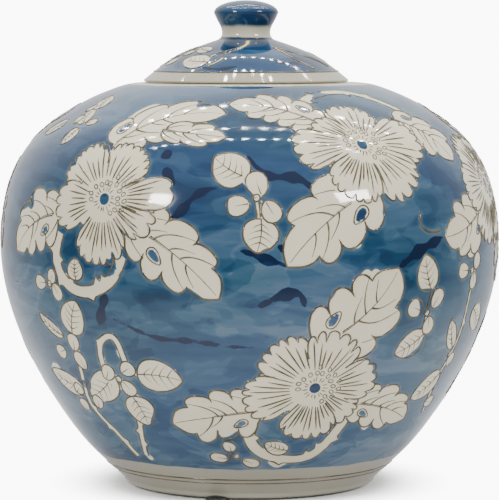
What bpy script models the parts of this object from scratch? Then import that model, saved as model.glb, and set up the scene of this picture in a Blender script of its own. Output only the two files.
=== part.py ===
"""A lidded porcelain ginger jar: jar body, lid with a button knob, and three bumper pads.

The frame stands on the pads: origin on the jar's axis at the level of the surface it rests on,
+Z up. The jar and its lid are turned shapes, each swept once round its own axis.
"""
import math

import bmesh
import bpy
import numpy as np

# Jar body, metres. Heights are above the foot ring's resting face.
BELLY_RADIUS = 0.1465
BELLY_HEIGHT = 0.140
SEAT_HEIGHT = 0.235
FOOT_EDGE_RADIUS = 0.0742
FOOT_EDGE_HEIGHT = 0.0028
FOOT_EDGE_ROUND = 0.0028
FOOT_RING_WIDTH = 0.009
FOOT_RECESS_DEPTH = 0.006
BODY_WALL = 0.006
BASE_THICKNESS = 0.006
INNER_FLOOR_ROUND = 0.012
FLOOR_BEND_OUT = 0.0042
FLOOR_BEND_UP = 0.0036
MOUTH_RADIUS = 0.050
MOUTH_ROUND = 0.0015
SEAT_WIDTH = 0.0112

# Lid and knob, metres. Heights are above the lid's rim.
RIM_COVER = 0.0101
RIM_RADIUS = MOUTH_RADIUS + RIM_COVER
RIM_ROUND = 0.0012
LID_WALL = 0.005
DOME_SHOULDER_RADIUS = 0.0425
DOME_SHOULDER_HEIGHT = 0.0141
DOME_TOP_RADIUS = 0.0185
DOME_TOP_HEIGHT = 0.0240
FLANGE_DEPTH = 0.012
FLANGE_WALL = 0.0040
FLANGE_PLAY = 0.003
KNOB_NECK_RADIUS = 0.0142
KNOB_NECK_HEIGHT = 0.0285
KNOB_RADIUS = 0.0190
KNOB_WIDEST_HEIGHT = 0.0403
KNOB_TOP_HEIGHT = 0.0477
KNOB_HOLLOW_RADIUS = 0.0075
KNOB_HOLLOW_HEIGHT = 0.0400
KNOB_HOLLOW_EASE = 0.0019
LID_LIES_LEFT = 0.0020

# Bumper pads, metres.
PAD_COUNT = 3
PAD_RADIUS = 0.0072
PAD_BELOW_FOOT = 0.0012
PAD_ABOVE_FOOT = 0.0021
PAD_EDGE_INSET = 0.0012
PAD_WIDEST_HEIGHT = 0.0004
PAD_REACH = 0.0040
CUTTER_MARGIN = 0.0084
FIRST_PAD_ANGLE = -104.7

# Fits and mesh fineness.
TOUCHING_GAP = 0.0003
BODY_STEPS = 56
LID_STEPS = 48
PAD_STEPS = 16
BODY_CURVE_STEPS = 24
LIP_STEPS = 3
FOOT_EDGE_STEPS = 4
HEAD_STEPS = 6
WAIST_STEPS = 7
DOME_STEPS = 8
RIM_STEPS = 3
PAD_DOME_STEPS = 4
SHARP_EDGE = 40

# How full the flank is between the foot's edge and the belly: share of the way down from the
# belly, and share of the difference in radius lost by then.
LOWER_FLANK = [(0.146, 0.028), (0.437, 0.206), (0.692, 0.478), (0.860, 0.722), (0.948, 0.895)]

# How full the shoulder is between the belly and the lid seat, counted up from the belly.
SHOULDER = [(0.211, 0.018), (0.421, 0.075), (0.716, 0.299), (0.821, 0.460), (0.909, 0.637), (0.965, 0.790),
            (0.987, 0.868)]

# How the knob flares: shares of the way in radius and height, from its widest place to its neck and
# from its neck to the top of the dome.
KNOB_FLARE = (0.45, 0.40)
NECK_FLARE = (0.25, 0.65)


def between(first, last, shares):
    """A place part of the way from one place on the outline to another."""
    return tuple(start + (end - start) * share for start, end, share in zip(first, last, shares))


def quarter_round(radius, widest_height, top_height, steps):
    """A domed top's outline, from its middle out to its widest place."""
    turns = np.radians(np.linspace(0, 90, steps + 1))
    points = [(radius * math.sin(turn), widest_height + (top_height - widest_height) * math.cos(turn))
              for turn in turns]
    return [(0.0, top_height)] + points[1:]


def smooth_curve(stations, steps):
    """Points along a natural cubic spline through the stations, evenly spaced by chord length."""
    knots = np.array(stations, dtype=float)
    chord = np.concatenate([[0.0], np.cumsum(np.linalg.norm(np.diff(knots, axis=0), axis=1))])
    count = len(knots)
    system = np.eye(count)
    right = np.zeros((count, 2))
    for i in range(1, count - 1):
        before = chord[i] - chord[i - 1]
        after = chord[i + 1] - chord[i]
        system[i, i - 1:i + 2] = before, 2 * (before + after), after
        right[i] = 6 * ((knots[i + 1] - knots[i]) / after - (knots[i] - knots[i - 1]) / before)
    bend = np.linalg.solve(system, right)
    points = []
    for place in np.linspace(0.0, chord[-1], steps + 1):
        i = min(int(np.searchsorted(chord, place, side="right")) - 1, count - 2)
        length = chord[i + 1] - chord[i]
        a = (chord[i + 1] - place) / length
        b = 1.0 - a
        point = a * knots[i] + b * knots[i + 1]
        point += ((a ** 3 - a) * bend[i] + (b ** 3 - b) * bend[i + 1]) * length ** 2 / 6
        points.append(tuple(point))
    return points


def arc(centre, radius, start, end, steps):
    """Points on a circular arc in the outline's plane, angles in degrees from straight out."""
    points = []
    for i in range(steps + 1):
        angle = math.radians(start + (end - start) * i / steps)
        points.append((centre[0] + radius * math.cos(angle), centre[1] + radius * math.sin(angle)))
    return points


def offset_left(outline, distance):
    """The outline moved sideways by a distance, to the left of its direction of travel."""
    points = np.array(outline)
    along = np.gradient(points, axis=0)
    along /= np.linalg.norm(along, axis=1)[:, None]
    aside = np.stack([-along[:, 1], along[:, 0]], axis=1)
    return [tuple(point) for point in points + distance * aside]


def material(name, colour, roughness):
    """A plain Principled finish."""
    finish = bpy.data.materials.new(name)
    finish.use_nodes = True
    shader = finish.node_tree.nodes["Principled BSDF"]
    shader.inputs["Base Color"].default_value = (*colour, 1.0)
    shader.inputs["Roughness"].default_value = roughness
    shader.inputs["Metallic"].default_value = 0.0
    return finish


def turned(name, outline, steps, finish):
    """A solid turned from an outline that starts and ends on the axis, its outer side read downwards."""
    shape = bmesh.new()
    ring = [shape.verts.new((radius, 0.0, height)) for radius, height in outline]
    edges = [shape.edges.new(pair) for pair in zip(ring, ring[1:])]
    bmesh.ops.spin(shape, geom=ring + edges, cent=(0, 0, 0), axis=(0, 0, 1), angle=math.tau,
                   steps=steps, use_merge=True, use_normal_flip=False)
    bmesh.ops.remove_doubles(shape, verts=shape.verts, dist=1e-6)
    bmesh.ops.recalc_face_normals(shape, faces=shape.faces)
    mesh = bpy.data.meshes.new(name)
    shape.to_mesh(mesh)
    shape.free()
    mesh.shade_smooth()
    mesh.set_sharp_from_angle(angle=math.radians(SHARP_EDGE))
    mesh.materials.append(finish)
    piece = bpy.data.objects.new(name, mesh)
    bpy.context.scene.collection.objects.link(piece)
    return piece


def body_outer():
    """The jar's outside, from the edge of the lid seat down to the foot's edge."""
    seat_edge = (MOUTH_RADIUS + SEAT_WIDTH, SEAT_HEIGHT)
    foot_edge = (FOOT_EDGE_RADIUS, FOOT_EDGE_HEIGHT)
    stations = [seat_edge]
    for up, lost in reversed(SHOULDER):
        radius = BELLY_RADIUS - lost * (BELLY_RADIUS - seat_edge[0])
        stations.append((radius, BELLY_HEIGHT + up * (SEAT_HEIGHT - BELLY_HEIGHT)))
    stations.append((BELLY_RADIUS, BELLY_HEIGHT))
    for down, lost in LOWER_FLANK:
        radius = BELLY_RADIUS - lost * (BELLY_RADIUS - FOOT_EDGE_RADIUS)
        stations.append((radius, BELLY_HEIGHT - down * (BELLY_HEIGHT - FOOT_EDGE_HEIGHT)))
    stations.append(foot_edge)
    return smooth_curve(stations, BODY_CURVE_STEPS)


def foot_edge_round():
    """The rounded lower edge of the foot ring, from the flank to the resting face."""
    centre = (FOOT_EDGE_RADIUS - FOOT_EDGE_ROUND, FOOT_EDGE_HEIGHT)
    return arc(centre, FOOT_EDGE_ROUND, 0, -90, FOOT_EDGE_STEPS)[1:]


def body_inner(outer):
    """The jar's inside, from the middle of its floor up to the mouth."""
    floor = FOOT_RECESS_DEPTH + BASE_THICKNESS
    wall = [point for point in reversed(offset_left(outer, -BODY_WALL))
            if point[1] > floor + INNER_FLOOR_ROUND and point[0] > MOUTH_RADIUS + MOUTH_ROUND]
    last = wall[0]
    bend = (last[0] - INNER_FLOOR_ROUND, floor)
    corner = (last[0] - FLOOR_BEND_OUT, floor + FLOOR_BEND_UP)
    return [(0.0, floor), bend, corner] + wall


def make_jar_body(finish):
    """The jar: floor, inside wall, mouth, level lid seat, outside wall, foot ring and recess."""
    outer = body_outer()
    inner = body_inner(outer)
    under_seat = (MOUTH_RADIUS, SEAT_HEIGHT - BODY_WALL)
    lip = arc((MOUTH_RADIUS + MOUTH_ROUND, SEAT_HEIGHT - MOUTH_ROUND), MOUTH_ROUND, 180, 90,
              LIP_STEPS)
    ring_inside = FOOT_EDGE_RADIUS - FOOT_RING_WIDTH
    recess = [(ring_inside, 0.0), (ring_inside, FOOT_RECESS_DEPTH), (0.0, FOOT_RECESS_DEPTH)]
    outline = inner + [under_seat] + lip + outer + foot_edge_round() + recess
    body = turned("jar_body", outline, BODY_STEPS, finish)
    body.location.z = PAD_BELOW_FOOT
    return body


def make_lid(finish):
    """The lid: button knob, dome, rim, locating flange, and the hollow inside dome and knob."""
    widest = (KNOB_RADIUS, KNOB_WIDEST_HEIGHT)
    neck = (KNOB_NECK_RADIUS, KNOB_NECK_HEIGHT)
    dome_top = (DOME_TOP_RADIUS, DOME_TOP_HEIGHT)
    head = quarter_round(KNOB_RADIUS, KNOB_WIDEST_HEIGHT, KNOB_TOP_HEIGHT, HEAD_STEPS)
    under_knob = between(widest, neck, KNOB_FLARE)
    over_dome = between(neck, dome_top, NECK_FLARE)
    waist = smooth_curve([widest, under_knob, neck, over_dome, dome_top], WAIST_STEPS)[1:]
    dome = smooth_curve([dome_top, (DOME_SHOULDER_RADIUS, DOME_SHOULDER_HEIGHT), (RIM_RADIUS, RIM_ROUND)],
                        DOME_STEPS)
    rim = arc((RIM_RADIUS - RIM_ROUND, RIM_ROUND), RIM_ROUND, 0, -90, RIM_STEPS)[1:]
    flange_outside = MOUTH_RADIUS - FLANGE_PLAY
    flange_inside = flange_outside - FLANGE_WALL
    flange = [(flange_outside, 0.0), (flange_outside, -FLANGE_DEPTH), (flange_inside, -FLANGE_DEPTH)]
    ceiling = [point for point in reversed(offset_left(dome, -LID_WALL))
               if KNOB_HOLLOW_RADIUS < point[0] < flange_inside]
    hollow = [(KNOB_HOLLOW_RADIUS, ceiling[-1][1] + KNOB_HOLLOW_EASE),
              (KNOB_HOLLOW_RADIUS, KNOB_HOLLOW_HEIGHT), (0.0, KNOB_HOLLOW_HEIGHT)]
    spring_line = [(flange_inside, ceiling[0][1])]
    outline = head + waist + dome[1:] + rim + flange + spring_line + ceiling + hollow
    lid = turned("lid", outline, LID_STEPS, finish)
    lid.location = (-LID_LIES_LEFT, 0.0, PAD_BELOW_FOOT + SEAT_HEIGHT + TOUCHING_GAP)
    return lid


def make_foot_cutter(finish):
    """The foot ring with the touching gap all round it, which hollows the pads to fit."""
    grown = FOOT_EDGE_ROUND + TOUCHING_GAP
    centre = (FOOT_EDGE_RADIUS - FOOT_EDGE_ROUND, FOOT_EDGE_HEIGHT)
    top = FOOT_EDGE_HEIGHT + CUTTER_MARGIN
    outline = [(0.0, top), (FOOT_EDGE_RADIUS + TOUCHING_GAP + CUTTER_MARGIN, top)]
    outline += arc(centre, grown, 0, -90, FOOT_EDGE_STEPS) + [(0.0, -TOUCHING_GAP)]
    cutter = turned("foot_cutter", outline, BODY_STEPS, finish)
    cutter.location.z = PAD_BELOW_FOOT
    cutter.hide_render = True
    cutter.display_type = "WIRE"
    return cutter


def make_foot_pads(finish, cutter):
    """Domed bumpers stuck under the foot's edge, reaching a little past it."""
    height = PAD_BELOW_FOOT + PAD_ABOVE_FOOT
    dome = quarter_round(PAD_RADIUS, PAD_WIDEST_HEIGHT, height, PAD_DOME_STEPS)
    outline = dome + [(PAD_RADIUS - PAD_EDGE_INSET, 0.0), (0.0, 0.0)]
    ring = FOOT_EDGE_RADIUS + PAD_REACH - PAD_RADIUS
    for index, side in enumerate(("front", "right", "back")):
        angle = math.radians(FIRST_PAD_ANGLE + index * 360 / PAD_COUNT)
        pad = turned(f"foot_pad_{side}", outline, PAD_STEPS, finish)
        pad.location = (ring * math.cos(angle), ring * math.sin(angle), 0.0)
        trim = pad.modifiers.new("seat_against_foot", "BOOLEAN")
        trim.operation = "DIFFERENCE"
        trim.solver = "EXACT"
        trim.object = cutter


for leftover in list(bpy.data.objects):
    bpy.data.objects.remove(leftover, do_unlink=True)

porcelain = material("painted_porcelain", (0.16, 0.27, 0.45), 0.08)
lid_porcelain = material("painted_lid_porcelain", (0.20, 0.30, 0.46), 0.08)
bumper = material("black_rubber", (0.015, 0.015, 0.016), 0.5)

make_jar_body(porcelain)
make_lid(lid_porcelain)
make_foot_pads(bumper, make_foot_cutter(bumper))
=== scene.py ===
"""The painted porcelain ginger jar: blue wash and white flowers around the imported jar, lid and pads."""

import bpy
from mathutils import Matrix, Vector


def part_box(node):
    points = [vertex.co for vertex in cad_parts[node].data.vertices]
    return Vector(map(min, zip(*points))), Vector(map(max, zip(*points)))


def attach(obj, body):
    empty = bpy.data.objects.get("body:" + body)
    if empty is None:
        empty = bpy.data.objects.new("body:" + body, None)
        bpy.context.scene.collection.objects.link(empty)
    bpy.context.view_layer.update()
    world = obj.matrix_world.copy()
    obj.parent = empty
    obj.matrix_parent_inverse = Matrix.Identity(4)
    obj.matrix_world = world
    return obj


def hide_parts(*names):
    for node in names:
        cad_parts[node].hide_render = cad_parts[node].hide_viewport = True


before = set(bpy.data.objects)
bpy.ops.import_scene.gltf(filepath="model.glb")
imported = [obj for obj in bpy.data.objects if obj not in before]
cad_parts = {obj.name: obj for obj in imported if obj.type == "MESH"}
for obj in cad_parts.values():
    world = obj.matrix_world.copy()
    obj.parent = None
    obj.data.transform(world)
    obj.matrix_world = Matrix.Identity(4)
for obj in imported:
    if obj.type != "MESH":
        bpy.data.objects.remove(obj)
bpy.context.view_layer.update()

import math

import bpy
import numpy as np
from mathutils import Vector

# ---------------------------------------------------------------------------------------------
# The view: a long lens a little above the belly, well back from the jar, so that its foot ring
# and its shoulder are both seen nearly edge on.
jar_low, jar_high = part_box("jar_body")
jar_middle = (jar_low + jar_high) / 2
EYE_DISTANCE = 1.642
EYE_HEIGHT = 0.270
AIM_HEIGHT = 0.1372
LENS_IN_FRAME_WIDTHS = 5.593
SENSOR_WIDTH = 36.0

bpy.ops.object.camera_add(location=(jar_middle.x, jar_middle.y - EYE_DISTANCE, EYE_HEIGHT))
camera = bpy.context.object
camera.name = "viewer"
camera.data.sensor_fit = "HORIZONTAL"
camera.data.sensor_width = SENSOR_WIDTH
camera.data.lens = LENS_IN_FRAME_WIDTHS * SENSOR_WIDTH
camera.data.clip_end = 20.0
aim = Vector((jar_middle.x, jar_middle.y, AIM_HEIGHT)) - camera.location
camera.rotation_euler = aim.to_track_quat("-Z", "Y").to_euler()
bpy.context.scene.camera = camera


# ---------------------------------------------------------------------------------------------
# The table and the light: a matt pale sheet that the jar stands on, in a white room with two bright
# windows, soft panels, and three rows of small ceiling lamps that show as dotted lines in the glaze.
class Finish:
    """A socket of a material being mixed. Sums on it add the material's Math nodes."""

    def __init__(self, tree, socket=None):
        self.tree = tree
        self.socket = socket

    def add(self, kind, settings=None, inputs=None, output=0):
        """Adds any node: first its settings, then the values or links of its sockets."""
        node = self.tree.nodes.new(kind)
        for name, value in (settings or {}).items():
            if name == "stops":
                ramp = node.color_ramp
                while len(ramp.elements) < len(value):
                    ramp.elements.new(0.5)
                for stop, (place, colour) in zip(ramp.elements, value):
                    stop.position = place
                    stop.color = (*colour, 1.0)
            else:
                setattr(node, name, value)
        for name, value in (inputs or {}).items():
            if isinstance(value, Finish):
                self.tree.links.new(value.socket, node.inputs[name])
            elif isinstance(value, tuple) and node.inputs[name].type == "RGBA":
                node.inputs[name].default_value = (*value, 1.0)
            else:
                node.inputs[name].default_value = value
        return Finish(self.tree, node.outputs[output])

    def sum_of(self, operation, first, second):
        return self.add("ShaderNodeMath", {"operation": operation}, {0: first, 1: second})

    def __add__(self, other):
        return self.sum_of("ADD", self, other)

    def __radd__(self, other):
        return self.sum_of("ADD", other, self)

    def __sub__(self, other):
        return self.sum_of("SUBTRACT", self, other)

    def __rsub__(self, other):
        return self.sum_of("SUBTRACT", other, self)

    def __mul__(self, other):
        return self.sum_of("MULTIPLY", self, other)

    def __rmul__(self, other):
        return self.sum_of("MULTIPLY", other, self)

    def ramp(self, low, high):
        """0 below low, 1 above high, and a smooth step between."""
        return self.add("ShaderNodeMapRange", {"interpolation_type": "SMOOTHSTEP"},
                        {"Value": self, "From Min": low, "From Max": high})

    def mix(self, first, second):
        """The first colour where this is 0, the second where it is 1."""
        return self.add("ShaderNodeMix", {"data_type": "RGBA"}, {0: self, 6: first, 7: second}, 2)


def start_finish(name):
    """A new material with an empty Principled shader, and the socket that its nodes grow from."""
    material = bpy.data.materials.new(name)
    material.use_nodes = True
    shader = material.node_tree.nodes["Principled BSDF"]
    return material, shader, Finish(material.node_tree)


def give(shader, **sockets):
    """Sets or links the shader's sockets, written with _ for a space."""
    for name, value in sockets.items():
        socket = shader.inputs[name.replace("_", " ")]
        if isinstance(value, Finish):
            value.tree.links.new(value.socket, socket)
        elif isinstance(value, tuple):
            socket.default_value = (*value, 1.0)
        else:
            socket.default_value = value


FLOOR_SIZE = 12.0
bpy.ops.object.select_all(action="DESELECT")
bpy.ops.mesh.primitive_plane_add(size=FLOOR_SIZE, location=(0, 0, 0))
floor = bpy.context.object
floor.name = "floor"
floor_finish, shader, nodes = start_finish("pale_sheet")
fibre = nodes.add("ShaderNodeTexNoise", {}, {"Vector": nodes.add("ShaderNodeTexCoord", output="Object"),
                                             "Scale": 60.0, "Detail": 3.0})
bounce = 0.70 + 0.30 * nodes.add("ShaderNodeLightPath", output="Is Camera Ray")
give(shader, Base_Color=bounce.mix((0.0, 0.0, 0.0), fibre.mix((0.92, 0.92, 0.92), (0.96, 0.96, 0.96))),
     Roughness=0.9, Specular_IOR_Level=0.1)
FLOOR_FADES_FROM = 0.16
FLOOR_FADES_TO = 0.60
SEEN_FADES_FROM = 0.074
SEEN_FADES_TO = 0.125
reach = nodes.add("ShaderNodeVectorMath", {"operation": "LENGTH"},
                  {0: nodes.add("ShaderNodeTexCoord", output="Object")}, "Value")
clear = nodes.add("ShaderNodeBsdfTransparent")
seen = nodes.add("ShaderNodeLightPath", output="Is Camera Ray")
fade = reach.ramp(FLOOR_FADES_FROM, FLOOR_FADES_TO) + seen * reach.ramp(SEEN_FADES_FROM, SEEN_FADES_TO)
sheet = nodes.add("ShaderNodeMixShader", {}, {0: fade, 1: Finish(nodes.tree, shader.outputs[0]), 2: clear})
nodes.tree.links.new(sheet.socket, nodes.tree.nodes["Material Output"].inputs["Surface"])
floor.data.materials.append(floor_finish)

room = bpy.data.worlds.new("white_room")
room.use_nodes = True
ROOM_LOW = 0.20
ROOM_HIGH = 0.85
ROOM_BACK = 0.95
ROOM_SEEN = 9.0
nodes = Finish(room.node_tree)
seen = nodes.add("ShaderNodeLightPath", output="Is Camera Ray")
around = nodes.add("ShaderNodeTexCoord", output="Generated")
upward = nodes.add("ShaderNodeSeparateXYZ", {}, {"Vector": around}, 2)
backward = nodes.add("ShaderNodeSeparateXYZ", {}, {"Vector": around}, 1)
strength = ROOM_LOW + (ROOM_HIGH - ROOM_LOW) * upward.ramp(-0.1, 0.95) + ROOM_BACK * backward.ramp(-0.1, 0.8)
strength = strength + ROOM_SEEN * seen
backdrop = room.node_tree.nodes["Background"]
backdrop.inputs["Color"].default_value = (1.0, 1.0, 1.0, 1.0)
room.node_tree.links.new(strength.socket, backdrop.inputs["Strength"])
bpy.context.scene.world = room


def lamp(name, place, aim_at, size, watts):
    """A soft rectangular lamp facing a point."""
    bpy.ops.object.light_add(type="AREA", location=place)
    light = bpy.context.object
    light.name = name
    light.data.shape = "RECTANGLE"
    light.data.size, light.data.size_y = size
    light.data.energy = watts
    light.rotation_euler = (Vector(aim_at) - Vector(place)).to_track_quat("-Z", "Y").to_euler()
    return light


BELLY = (0.0, 0.0, 0.15)
lamp("ceiling_lamp", (0.0, 0.1, 2.2), BELLY, (2.2, 1.2), 7.0).visible_glossy = False
lamp("front_lamp", (-0.3, -2.3, 0.25), (0.0, 0.0, 0.10), (2.6, 0.7), 20.0).visible_glossy = False
lamp("left_window", (-1.75, -1.85, 1.36), BELLY, (0.48, 0.36), 50.0)
lamp("right_window", (2.0, -1.6, 1.46), BELLY, (0.80, 0.34), 56.0)
lamp("left_panel", (-2.4, 1.6, 1.2), BELLY, (1.6, 1.6), 24.0).visible_glossy = False
lamp("right_panel", (2.5, 1.2, 0.9), BELLY, (1.3, 1.9), 18.0).visible_glossy = False
ROW_LAMPS = 17
ROW_DEPTHS = (-0.10, 0.42, 1.25)
ROW_LENGTH = 2.6
ROW_ASIDE = 0.12
ROW_HEIGHT = 2.3
ROW_LAMP_SIZE = 0.048
ROW_LAMP_WATTS = 1.1
for row, depth in enumerate(ROW_DEPTHS):
    for k in range(ROW_LAMPS):
        across = ROW_LENGTH * (k / (ROW_LAMPS - 1) - 0.5) + ROW_ASIDE
        lamp(f"row_lamp_{row}_{k}", (across, depth, ROW_HEIGHT), BELLY, (ROW_LAMP_SIZE,) * 2, ROW_LAMP_WATTS)

# ---------------------------------------------------------------------------------------------
# The jar body: thrown porcelain, turned thin, dipped in clear glaze except its foot ring and the level seat
# that the lid lies on. Its outline runs through the listed stations, sized by the imported jar's box, and is
# turned finely.
BELLY_RADIUS = jar_high.x
FOOT_HEIGHT = jar_low.z
SEAT_HEIGHT = jar_high.z - FOOT_HEIGHT
BELLY_HEIGHT = 0.140
FOOT_EDGE_RADIUS = 0.0742
FOOT_EDGE_HEIGHT = 0.0028
FOOT_RING_WIDTH = 0.009
FOOT_RECESS_DEPTH = 0.006
BODY_WALL = 0.006
BASE_THICKNESS = 0.006
MOUTH_RADIUS = 0.050
MOUTH_ROUND = 0.0015
SEAT_EDGE_RADIUS = 0.0612
SHOULDER = [(0.987, 0.868), (0.965, 0.790), (0.909, 0.637), (0.821, 0.460), (0.716, 0.299),
            (0.421, 0.075), (0.211, 0.018)]
LOWER_FLANK = [(0.146, 0.028), (0.437, 0.206), (0.692, 0.478), (0.860, 0.722), (0.948, 0.895)]
OUTER_ROWS = 150
INNER_ROWS = 30
BODY_TURNS = 480


def smooth_curve(stations, steps):
    """Points along a natural cubic spline through the stations, evenly spaced by chord length."""
    knots = np.array(stations, dtype=float)
    chord = np.concatenate([[0.0], np.cumsum(np.linalg.norm(np.diff(knots, axis=0), axis=1))])
    count = len(knots)
    system = np.eye(count)
    right = np.zeros((count, knots.shape[1]))
    for i in range(1, count - 1):
        before = chord[i] - chord[i - 1]
        after = chord[i + 1] - chord[i]
        system[i, i - 1:i + 2] = before, 2 * (before + after), after
        right[i] = 6 * ((knots[i + 1] - knots[i]) / after - (knots[i] - knots[i - 1]) / before)
    bend = np.linalg.solve(system, right)
    points = []
    for place in np.linspace(0.0, chord[-1], steps + 1):
        i = min(int(np.searchsorted(chord, place, side="right")) - 1, count - 2)
        length = chord[i + 1] - chord[i]
        a = (chord[i + 1] - place) / length
        b = 1.0 - a
        point = a * knots[i] + b * knots[i + 1]
        point += ((a ** 3 - a) * bend[i] + (b ** 3 - b) * bend[i + 1]) * length ** 2 / 6
        points.append(point)
    return np.array(points)


def directions(path):
    """Unit vectors along a flat path and to its left, at each of its points."""
    way = np.gradient(path, axis=0)
    way /= np.linalg.norm(way, axis=1)[:, None]
    return way, np.stack([-way[:, 1], way[:, 0]], axis=1)


def arc(centre, radius, start, end, steps):
    """Points on a circular arc in the outline's plane, angles in degrees from straight out."""
    angles = np.radians(np.linspace(start, end, steps + 1))
    return np.stack([centre[0] + radius * np.cos(angles), centre[1] + radius * np.sin(angles)], axis=1)


def turned(name, outline, turns, lift, aside=0.0):
    """A drawn outline, in radius and height, spun once round the axis and moved to its place."""
    bpy.ops.object.select_all(action="DESELECT")
    bpy.ops.mesh.primitive_circle_add(vertices=len(outline), radius=1.0, location=(0, 0, 0))
    piece = bpy.context.object
    piece.name = piece.data.name = name
    places = np.zeros((len(outline), 3))
    places[:, 0] = outline[:, 0]
    places[:, 2] = outline[:, 1]
    piece.data.vertices.foreach_set("co", places.ravel())
    bpy.ops.object.mode_set(mode="EDIT")
    bpy.ops.mesh.select_all(action="SELECT")
    bpy.ops.mesh.spin(steps=turns, angle=math.tau, center=(0, 0, 0), axis=(0, 0, 1))
    bpy.ops.mesh.select_all(action="SELECT")
    bpy.ops.mesh.remove_doubles(threshold=0.000002)
    bpy.ops.mesh.normals_make_consistent(inside=False)
    bpy.ops.mesh.select_all(action="SELECT")
    bpy.ops.transform.translate(value=(aside, 0, lift))
    bpy.ops.object.mode_set(mode="OBJECT")
    bpy.ops.object.shade_smooth_by_angle(angle=math.radians(40))
    return piece


def with_belly(shares, up):
    """The flank's stations between the belly and one end, from their shares of the way."""
    end_radius = SEAT_EDGE_RADIUS if up else FOOT_EDGE_RADIUS
    climb = (SEAT_HEIGHT if up else FOOT_EDGE_HEIGHT) - BELLY_HEIGHT
    return [(BELLY_RADIUS - lost * (BELLY_RADIUS - end_radius), BELLY_HEIGHT + way * climb)
            for way, lost in shares]


outer = smooth_curve([(SEAT_EDGE_RADIUS, SEAT_HEIGHT)] + with_belly(SHOULDER, True)
                     + [(BELLY_RADIUS, BELLY_HEIGHT)] + with_belly(LOWER_FLANK, False)
                     + [(FOOT_EDGE_RADIUS, FOOT_EDGE_HEIGHT)], OUTER_ROWS)
inner = outer - BODY_WALL * directions(outer)[1]
inner = inner[::OUTER_ROWS // INNER_ROWS]
floor_height = FOOT_RECESS_DEPTH + BASE_THICKNESS
inner = inner[(inner[:, 0] > MOUTH_RADIUS + MOUTH_ROUND) & (inner[:, 1] > floor_height + 0.012)]
ring_inside = FOOT_EDGE_RADIUS - FOOT_RING_WIDTH
body_outline = np.concatenate([
    [(0.0, floor_height), (inner[-1][0] - 0.012, floor_height),
     (inner[-1][0] - 0.0042, floor_height + 0.0036)],
    inner[::-1],
    [(MOUTH_RADIUS, SEAT_HEIGHT - BODY_WALL)],
    arc((MOUTH_RADIUS + MOUTH_ROUND, SEAT_HEIGHT - MOUTH_ROUND), MOUTH_ROUND, 180, 90, 4),
    outer,
    arc((FOOT_EDGE_RADIUS - FOOT_EDGE_HEIGHT, FOOT_EDGE_HEIGHT), FOOT_EDGE_HEIGHT, 0, -90, 6)[1:],
    [(ring_inside + 0.001, 0.0), (ring_inside, 0.001), (ring_inside, FOOT_RECESS_DEPTH - 0.001),
     (ring_inside - 0.001, FOOT_RECESS_DEPTH), (0.0, FOOT_RECESS_DEPTH)]])
jar = turned("jar_porcelain", body_outline, BODY_TURNS, FOOT_HEIGHT)


# ---------------------------------------------------------------------------------------------
# The drawing on the jar: every flower, leaf and branch is pricked through a paper stencil laid flat
# on the biscuit, then drawn with a fine brush in iron brown. The blue is washed round the shapes,
# which stay bare porcelain, and a few strokes of strong cobalt go on top.
LINE_SINK = 0.0002
LINE_STEP = 1.3
MM = 0.001
rng = np.random.default_rng(11)


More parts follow.
